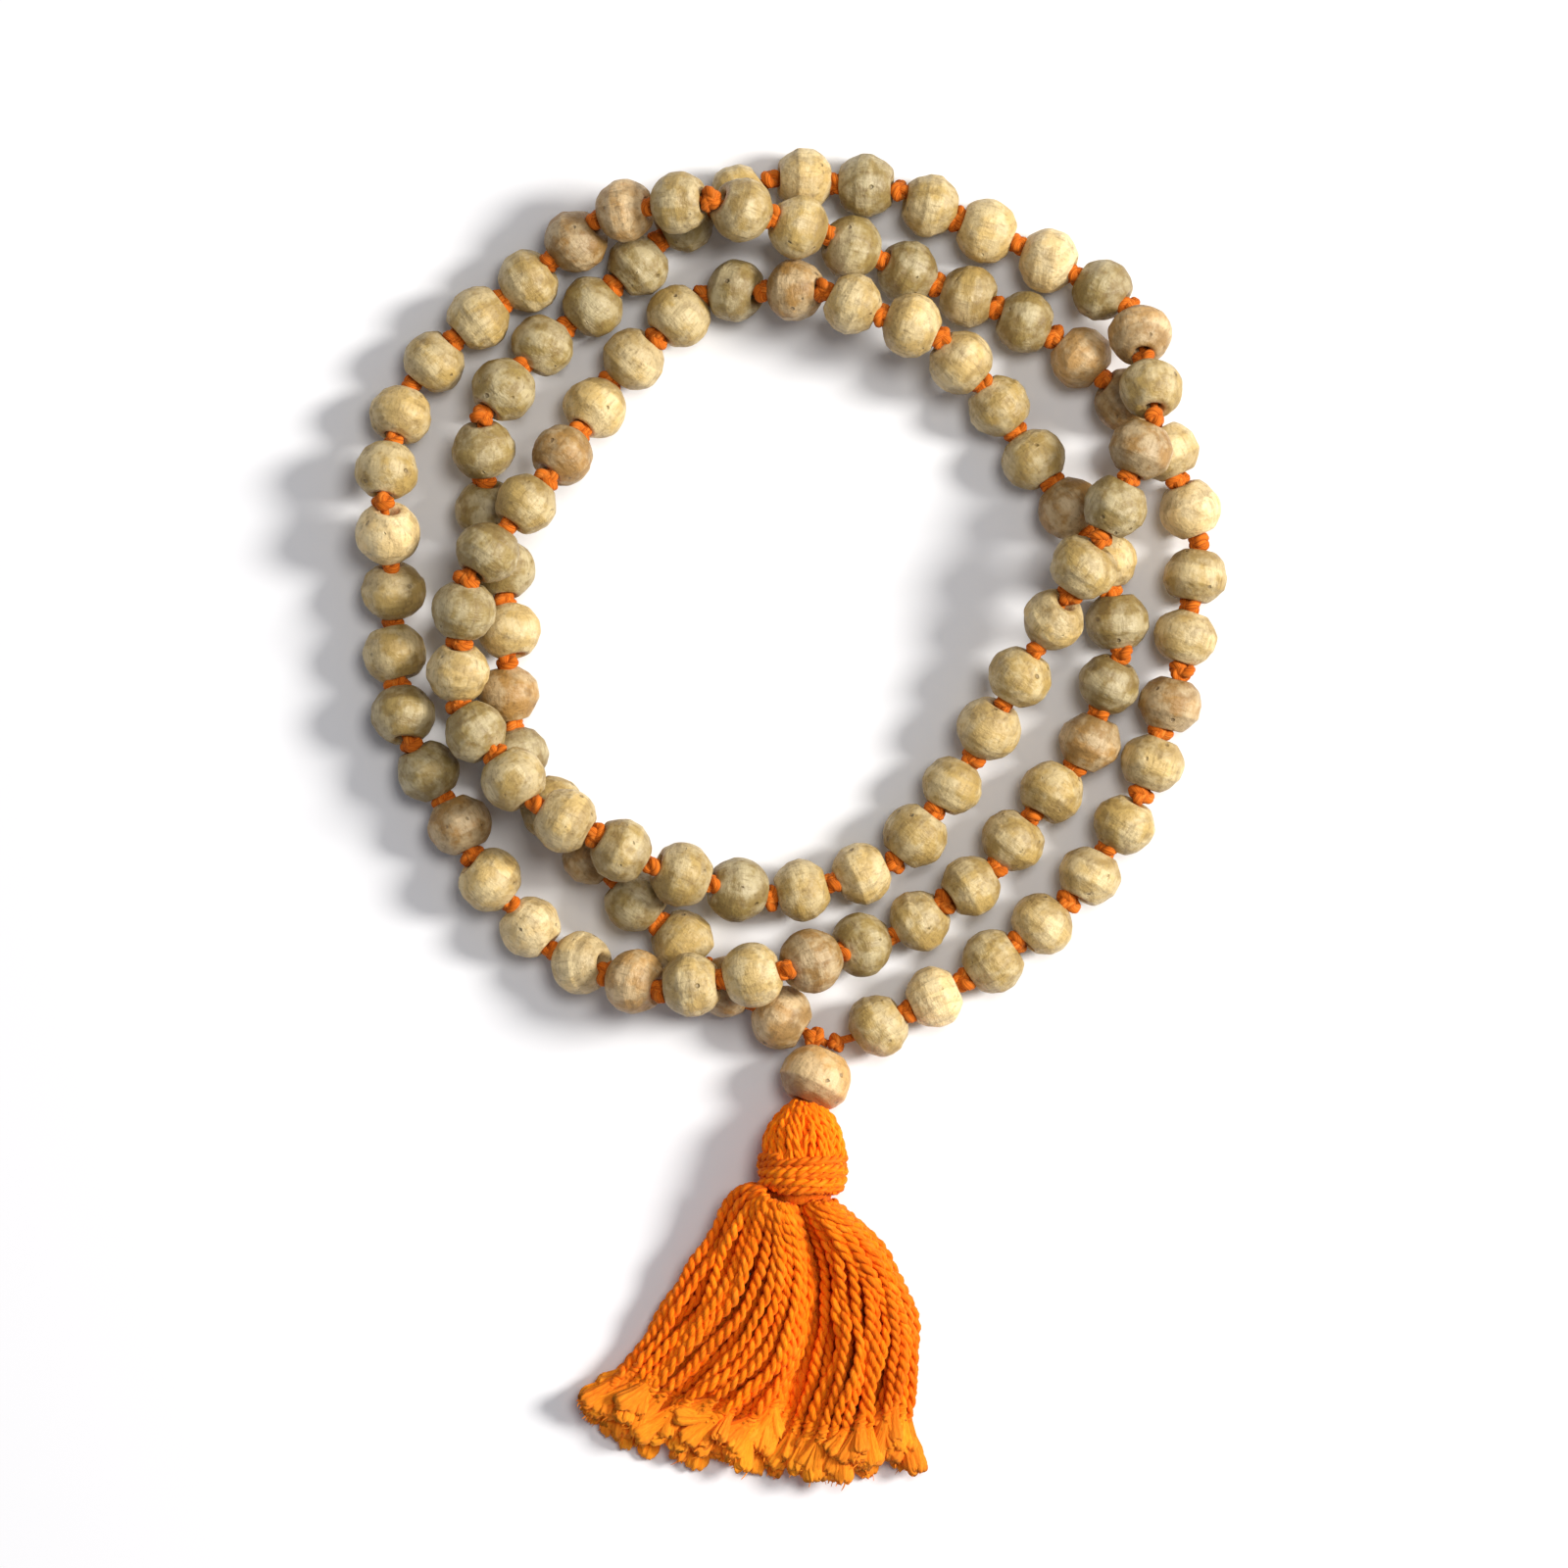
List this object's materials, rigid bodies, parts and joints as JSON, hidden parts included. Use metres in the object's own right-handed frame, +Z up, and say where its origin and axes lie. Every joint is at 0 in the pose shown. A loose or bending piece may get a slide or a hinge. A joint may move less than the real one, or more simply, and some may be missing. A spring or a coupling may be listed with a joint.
{
  "type": "mala prayer beads",
  "caption": "Loop of turned wooden prayer beads knotted on orange cotton thread, with a guru bead and a cotton tassel, laid in overlapping rounds on a flat surface.",
  "frame": {"origin": "middle of the laid-out string's box, on the surface that it lies on", "axes": "+Z up from the surface, the tassel points to -Y, +X to the right with the tassel towards the viewer"},
  "size_m": [0.111, 0.171, 0.0168],
  "materials": {
    "bead_wood": "turned and tumbled, matt to satin",
    "guru_wood": "turned, matt to satin",
    "thread_cotton": "twisted cotton, matt",
    "tassel_cotton": "twisted cotton yarn with frayed ends, matt"
  },
  "bodies": {
    "thread": {"thread": "thread_cotton"},
    "guru": {"guru_bead": "guru_wood"},
    "tassel_head": {"tassel_head": "tassel_cotton", "tassel_binding": "tassel_cotton"},
    "skirt_left": {"tassel_skirt_left": "tassel_cotton"},
    "skirt_right": {"tassel_skirt_right": "tassel_cotton"},
    "pair_01": {"bead_pair_01": "bead_wood"},
    "pair_02": {"bead_pair_02": "bead_wood"},
    "pair_03": {"bead_pair_03": "bead_wood"},
    "pair_04": {"bead_pair_04": "bead_wood"},
    "pair_05": {"bead_pair_05": "bead_wood"},
    "pair_06": {"bead_pair_06": "bead_wood"},
    "pair_07": {"bead_pair_07": "bead_wood"},
    "pair_08": {"bead_pair_08": "bead_wood"},
    "pair_09": {"bead_pair_09": "bead_wood"},
    "pair_10": {"bead_pair_10": "bead_wood"},
    "pair_11": {"bead_pair_11": "bead_wood"},
    "pair_12": {"bead_pair_12": "bead_wood"},
    "pair_13": {"bead_pair_13": "bead_wood"},
    "pair_14": {"bead_pair_14": "bead_wood"},
    "pair_15": {"bead_pair_15": "bead_wood"},
    "pair_16": {"bead_pair_16": "bead_wood"},
    "pair_17": {"bead_pair_17": "bead_wood"},
    "pair_18": {"bead_pair_18": "bead_wood"},
    "pair_19": {"bead_pair_19": "bead_wood"},
    "pair_20": {"bead_pair_20": "bead_wood"},
    "pair_21": {"bead_pair_21": "bead_wood"},
    "pair_22": {"bead_pair_22": "bead_wood"},
    "pair_23": {"bead_pair_23": "bead_wood"},
    "pair_24": {"bead_pair_24": "bead_wood"},
    "pair_25": {"bead_pair_25": "bead_wood"},
    "pair_26": {"bead_pair_26": "bead_wood"},
    "pair_27": {"bead_pair_27": "bead_wood"},
    "pair_28": {"bead_pair_28": "bead_wood"},
    "pair_29": {"bead_pair_29": "bead_wood"},
    "pair_30": {"bead_pair_30": "bead_wood"},
    "pair_31": {"bead_pair_31": "bead_wood"},
    "pair_32": {"bead_pair_32": "bead_wood"},
    "pair_33": {"bead_pair_33": "bead_wood"},
    "pair_34": {"bead_pair_34": "bead_wood"},
    "pair_35": {"bead_pair_35": "bead_wood"},
    "pair_36": {"bead_pair_36": "bead_wood"},
    "pair_37": {"bead_pair_37": "bead_wood"},
    "pair_38": {"bead_pair_38": "bead_wood"},
    "pair_39": {"bead_pair_39": "bead_wood"},
    "pair_40": {"bead_pair_40": "bead_wood"},
    "pair_41": {"bead_pair_41": "bead_wood"},
    "pair_42": {"bead_pair_42": "bead_wood"},
    "pair_43": {"bead_pair_43": "bead_wood"},
    "pair_44": {"bead_pair_44": "bead_wood"},
    "pair_45": {"bead_pair_45": "bead_wood"},
    "pair_46": {"bead_pair_46": "bead_wood"},
    "pair_47": {"bead_pair_47": "bead_wood"},
    "pair_48": {"bead_pair_48": "bead_wood"},
    "pair_49": {"bead_pair_49": "bead_wood"},
    "pair_50": {"bead_pair_50": "bead_wood"},
    "pair_51": {"bead_pair_51": "bead_wood"},
    "pair_52": {"bead_pair_52": "bead_wood"},
    "pair_53": {"bead_pair_53": "bead_wood"},
    "pair_54": {"bead_pair_54": "bead_wood"}
  },
  "joints": [
    {"name": "pendant_lift", "type": "hinge", "parent": "thread", "child": "guru", "pos_m": [0.00459, -0.02877, 0.00335], "axis": [-1, 0, 0], "range_deg": [0, 25]},
    {"name": "tassel_sway", "type": "hinge", "parent": "guru", "child": "tassel_head", "pos_m": [0.00182, -0.03638, 0.00537], "axis": [0, 0, 1], "range_deg": [-20, 10]},
    {"name": "skirt_left_fan", "type": "hinge", "parent": "tassel_head", "child": "skirt_left", "pos_m": [0.00119, -0.04856, 0.0055], "axis": [0, 0, -1], "range_deg": [0, 10]},
    {"name": "skirt_right_fan", "type": "hinge", "parent": "tassel_head", "child": "skirt_right", "pos_m": [0.00119, -0.04856, 0.0055], "axis": [0, 0, 1], "range_deg": [0, 10]},
    {"name": "pair_01_spin", "type": "hinge", "parent": "thread", "child": "pair_01", "pos_m": [0.01458, -0.02456, 0.0041], "axis": [0.8941, 0.4479, 0], "continuous": true},
    {"name": "pair_02_spin", "type": "hinge", "parent": "thread", "child": "pair_02", "pos_m": [0.02871, -0.0159, 0.0041], "axis": [0.7999, 0.6001, 0], "continuous": true},
    {"name": "pair_03_spin", "type": "hinge", "parent": "thread", "child": "pair_03", "pos_m": [0.04011, -0.00406, 0.0041], "axis": [0.5609, 0.8279, 0], "continuous": true},
    {"name": "pair_04_spin", "type": "hinge", "parent": "thread", "child": "pair_04", "pos_m": [0.04713, 0.01084, 0.0041], "axis": [0.2897, 0.9571, 0], "continuous": true},
    {"name": "pair_05_spin", "type": "hinge", "parent": "thread", "child": "pair_05", "pos_m": [0.05083, 0.02703, 0.0041], "axis": [0.157, 0.9876, 0], "continuous": true},
    {"name": "pair_06_spin", "type": "hinge", "parent": "thread", "child": "pair_06", "pos_m": [0.04935, 0.04308, 0.0041], "axis": [-0.3586, 0.9335, 0], "continuous": true},
    {"name": "pair_07_spin", "type": "hinge", "parent": "thread", "child": "pair_07", "pos_m": [0.03977, 0.05606, 0.0041], "axis": [-0.7316, 0.6817, 0], "continuous": true},
    {"name": "pair_08_spin", "type": "hinge", "parent": "thread", "child": "pair_08", "pos_m": [0.02613, 0.06492, 0.00413], "axis": [-0.9116, 0.411, -0.0069], "continuous": true},
    {"name": "pair_09_spin", "type": "hinge", "parent": "thread", "child": "pair_09", "pos_m": [0.01113, 0.07127, 0.00495], "axis": [-0.8971, 0.3868, 0.2137], "continuous": true},
    {"name": "pair_10_spin", "type": "hinge", "parent": "thread", "child": "pair_10", "pos_m": [-0.00274, 0.07614, 0.01086], "axis": [-0.8994, 0.2499, 0.3587], "continuous": true},
    {"name": "pair_11_spin", "type": "hinge", "parent": "thread", "child": "pair_11", "pos_m": [-0.01776, 0.07768, 0.01043], "axis": [-0.8924, -0.1011, -0.4398], "continuous": true},
    {"name": "pair_12_spin", "type": "hinge", "parent": "thread", "child": "pair_12", "pos_m": [-0.03057, 0.07104, 0.0048], "axis": [-0.7614, -0.6269, -0.165], "continuous": true},
    {"name": "pair_13_spin", "type": "hinge", "parent": "thread", "child": "pair_13", "pos_m": [-0.04278, 0.061, 0.00433], "axis": [-0.7115, -0.7003, -0.0575], "continuous": true},
    {"name": "pair_14_spin", "type": "hinge", "parent": "thread", "child": "pair_14", "pos_m": [-0.05073, 0.04787, 0.00563], "axis": [-0.2177, -0.9133, 0.3442], "continuous": true},
    {"name": "pair_15_spin", "type": "hinge", "parent": "thread", "child": "pair_15", "pos_m": [-0.05111, 0.03264, 0.00564], "axis": [0.0825, -0.9192, -0.3851], "continuous": true},
    {"name": "pair_16_spin", "type": "hinge", "parent": "thread", "child": "pair_16", "pos_m": [-0.0501, 0.01713, 0.0046], "axis": [0.1375, -0.9823, 0.1276], "continuous": true},
    {"name": "pair_17_spin", "type": "hinge", "parent": "thread", "child": "pair_17", "pos_m": [-0.04434, 0.00256, 0.00424], "axis": [0.5012, -0.865, -0.0226], "continuous": true},
    {"name": "pair_18_spin", "type": "hinge", "parent": "thread", "child": "pair_18", "pos_m": [-0.03593, -0.01081, 0.0045], "axis": [0.6415, -0.7605, -0.1003], "continuous": true},
    {"name": "pair_19_spin", "type": "hinge", "parent": "thread", "child": "pair_19", "pos_m": [-0.02344, -0.01954, 0.00616], "axis": [0.8582, -0.2943, 0.4207], "continuous": true},
    {"name": "pair_20_spin", "type": "hinge", "parent": "thread", "child": "pair_20", "pos_m": [-0.00886, -0.02045, 0.01137], "axis": [0.9842, 0.1593, 0.0775], "continuous": true},
    {"name": "pair_21_spin", "type": "hinge", "parent": "thread", "child": "pair_21", "pos_m": [0.00567, -0.01709, 0.00685], "axis": [0.8225, 0.2584, -0.5066], "continuous": true},
    {"name": "pair_22_spin", "type": "hinge", "parent": "thread", "child": "pair_22", "pos_m": [0.01952, -0.01082, 0.00458], "axis": [0.8208, 0.5584, 0.1206], "continuous": true},
    {"name": "pair_23_spin", "type": "hinge", "parent": "thread", "child": "pair_23", "pos_m": [0.03065, 0.00029, 0.00414], "axis": [0.6216, 0.7833, -0.0103], "continuous": true},
    {"name": "pair_24_spin", "type": "hinge", "parent": "thread", "child": "pair_24", "pos_m": [0.03922, 0.01343, 0.00457], "axis": [0.3045, 0.9461, 0.1104], "continuous": true},
    {"name": "pair_25_spin", "type": "hinge", "parent": "thread", "child": "pair_25", "pos_m": [0.04071, 0.02893, 0.00417], "axis": [-0.1975, 0.9801, -0.0187], "continuous": true},
    {"name": "pair_26_spin", "type": "hinge", "parent": "thread", "child": "pair_26", "pos_m": [0.03316, 0.04266, 0.00411], "axis": [-0.5904, 0.8071, -0.0014], "continuous": true},
    {"name": "pair_27_spin", "type": "hinge", "parent": "thread", "child": "pair_27", "pos_m": [0.02396, 0.05532, 0.00554], "axis": [-0.6309, 0.7039, 0.3262], "continuous": true},
    {"name": "pair_28_spin", "type": "hinge", "parent": "thread", "child": "pair_28", "pos_m": [0.01149, 0.06398, 0.00937], "axis": [-0.939, 0.3435, 0.0138], "continuous": true},
    {"name": "pair_29_spin", "type": "hinge", "parent": "thread", "child": "pair_29", "pos_m": [-0.00337, 0.06725, 0.00583], "axis": [-0.953, 0.0047, -0.3028], "continuous": true},
    {"name": "pair_30_spin", "type": "hinge", "parent": "thread", "child": "pair_30", "pos_m": [-0.01732, 0.06135, 0.0041], "axis": [-0.7247, -0.689, 0], "continuous": true},
    {"name": "pair_31_spin", "type": "hinge", "parent": "thread", "child": "pair_31", "pos_m": [-0.02717, 0.04928, 0.00598], "axis": [-0.5115, -0.766, 0.3894], "continuous": true},
    {"name": "pair_32_spin", "type": "hinge", "parent": "thread", "child": "pair_32", "pos_m": [-0.03618, 0.03686, 0.01133], "axis": [-0.6054, -0.7813, 0.1519], "continuous": true},
    {"name": "pair_33_spin", "type": "hinge", "parent": "thread", "child": "pair_33", "pos_m": [-0.04204, 0.0225, 0.01008], "axis": [-0.095, -0.9783, -0.1841], "continuous": true},
    {"name": "pair_34_spin", "type": "hinge", "parent": "thread", "child": "pair_34", "pos_m": [-0.03773, 0.00798, 0.0109], "axis": [0.6148, -0.7541, 0.2311], "continuous": true},
    {"name": "pair_35_spin", "type": "hinge", "parent": "thread", "child": "pair_35", "pos_m": [-0.0252, -0.00214, 0.01188], "axis": [0.8778, -0.4683, -0.1004], "continuous": true},
    {"name": "pair_36_spin", "type": "hinge", "parent": "thread", "child": "pair_36", "pos_m": [-0.01046, -0.00811, 0.00786], "axis": [0.9052, -0.2458, -0.3468], "continuous": true},
    {"name": "pair_37_spin", "type": "hinge", "parent": "thread", "child": "pair_37", "pos_m": [0.00513, -0.00808, 0.00442], "axis": [0.9613, 0.2681, -0.0632], "continuous": true},
    {"name": "pair_38_spin", "type": "hinge", "parent": "thread", "child": "pair_38", "pos_m": [0.01808, 0.00098, 0.00423], "axis": [0.5915, 0.8057, 0.0318], "continuous": true},
    {"name": "pair_39_spin", "type": "hinge", "parent": "thread", "child": "pair_39", "pos_m": [0.02703, 0.01473, 0.00635], "axis": [0.4953, 0.8377, 0.2301], "continuous": true},
    {"name": "pair_40_spin", "type": "hinge", "parent": "thread", "child": "pair_40", "pos_m": [0.03512, 0.02858, 0.01071], "axis": [0.4766, 0.834, 0.2781], "continuous": true},
    {"name": "pair_41_spin", "type": "hinge", "parent": "thread", "child": "pair_41", "pos_m": [0.04256, 0.04311, 0.01283], "axis": [0.41, 0.9118, 0.0225], "continuous": true},
    {"name": "pair_42_spin", "type": "hinge", "parent": "thread", "child": "pair_42", "pos_m": [0.04489, 0.05803, 0.00998], "axis": [-0.1616, 0.8738, -0.4587], "continuous": true},
    {"name": "pair_43_spin", "type": "hinge", "parent": "thread", "child": "pair_43", "pos_m": [0.03613, 0.06922, 0.00485], "axis": [-0.8678, 0.4815, -0.1232], "continuous": true},
    {"name": "pair_44_spin", "type": "hinge", "parent": "thread", "child": "pair_44", "pos_m": [0.02128, 0.07654, 0.00412], "axis": [-0.9105, 0.4134, 0.0045], "continuous": true},
    {"name": "pair_45_spin", "type": "hinge", "parent": "thread", "child": "pair_45", "pos_m": [0.00552, 0.08109, 0.0041], "axis": [-0.9954, 0.0955, 0], "continuous": true},
    {"name": "pair_46_spin", "type": "hinge", "parent": "thread", "child": "pair_46", "pos_m": [-0.01022, 0.07793, 0.0041], "axis": [-0.8978, -0.4404, 0], "continuous": true},
    {"name": "pair_47_spin", "type": "hinge", "parent": "thread", "child": "pair_47", "pos_m": [-0.02253, 0.06791, 0.0041], "axis": [-0.7388, -0.6739, 0], "continuous": true},
    {"name": "pair_48_spin", "type": "hinge", "parent": "thread", "child": "pair_48", "pos_m": [-0.03428, 0.05748, 0.00531], "axis": [-0.6263, -0.7372, 0.2535], "continuous": true},
    {"name": "pair_49_spin", "type": "hinge", "parent": "thread", "child": "pair_49", "pos_m": [-0.03908, 0.0432, 0.00521], "axis": [0.0633, -0.9619, -0.2658], "continuous": true},
    {"name": "pair_50_spin", "type": "hinge", "parent": "thread", "child": "pair_50", "pos_m": [-0.03643, 0.02775, 0.00457], "axis": [0.1077, -0.987, 0.1196], "continuous": true},
    {"name": "pair_51_spin", "type": "hinge", "parent": "thread", "child": "pair_51", "pos_m": [-0.03566, 0.01197, 0.00432], "axis": [0.1478, -0.9874, -0.0561], "continuous": true},
    {"name": "pair_52_spin", "type": "hinge", "parent": "thread", "child": "pair_52", "pos_m": [-0.02806, -0.00158, 0.0041], "axis": [0.6544, -0.7561, 0], "continuous": true},
    {"name": "pair_53_spin", "type": "hinge", "parent": "thread", "child": "pair_53", "pos_m": [-0.01689, -0.01311, 0.0041], "axis": [0.7419, -0.6705, 0], "continuous": true},
    {"name": "pair_54_spin", "type": "hinge", "parent": "thread", "child": "pair_54", "pos_m": [-0.00483, -0.02337, 0.0041], "axis": [0.8643, -0.503, 0], "continuous": true}
  ]
}
